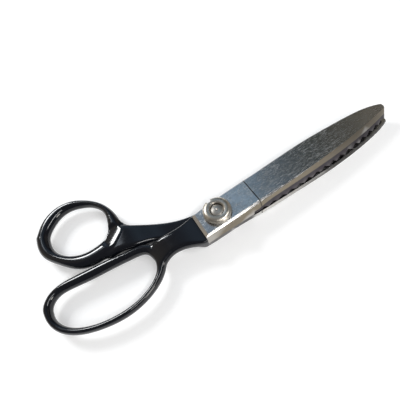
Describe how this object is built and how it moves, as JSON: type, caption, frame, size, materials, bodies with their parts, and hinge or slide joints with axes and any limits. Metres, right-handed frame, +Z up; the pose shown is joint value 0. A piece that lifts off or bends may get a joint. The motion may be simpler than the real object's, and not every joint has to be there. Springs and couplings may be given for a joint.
{
  "type": "pinking shears",
  "caption": "Pinking shears with zigzag inlaid cutting strips, enamelled thumb and finger bows and a slotted round nut over a ball-race pivot.",
  "frame": {"origin": "on the pivot axis, in the flat face of the back half that the closed shears lie on", "axes": "+X along the closed blades to the tips, +Y towards the thumb bow, +Z up through the pivot screw to the nut"},
  "size_m": [0.2289, 0.0862, 0.0171],
  "materials": {
    "plated_steel": "bright nickel plate over ground steel, lightly scratched",
    "tooth_steel": "hardened and ground, darkened",
    "enamel": "gloss black baked enamel",
    "nut_steel": "worn nickel plate",
    "screw_steel": "turned steel, slightly dull",
    "ball_steel": "polished bearing steel",
    "bronze": "turned bronze"
  },
  "bodies": {
    "back_half": {"back_blade": "plated_steel", "back_tooth_strip": "tooth_steel", "thumb_handle": "enamel", "pivot_screw": "screw_steel", "spring_washer": "screw_steel", "pivot_nut": "nut_steel"},
    "front_half": {"front_blade": "plated_steel", "front_tooth_strip": "tooth_steel", "finger_handle": "enamel", "pivot_bush": "bronze"},
    "ball_race": {"ball_cage": "bronze", "thrust_balls": "ball_steel"}
  },
  "joints": [
    {"name": "blade_pivot", "type": "hinge", "parent": "back_half", "child": "front_half", "pos_m": [0, 0, 0.0066], "axis": [0, 0, 1], "range_deg": [0, 40]},
    {"name": "race_spin", "type": "hinge", "parent": "back_half", "child": "ball_race", "pos_m": [0, 0, 0.0066], "axis": [0, 0, 1], "range_deg": [0, 20]}
  ],
  "couplings": [
    {"joint": "race_spin", "follows": "blade_pivot", "ratio": 0.5}
  ]
}
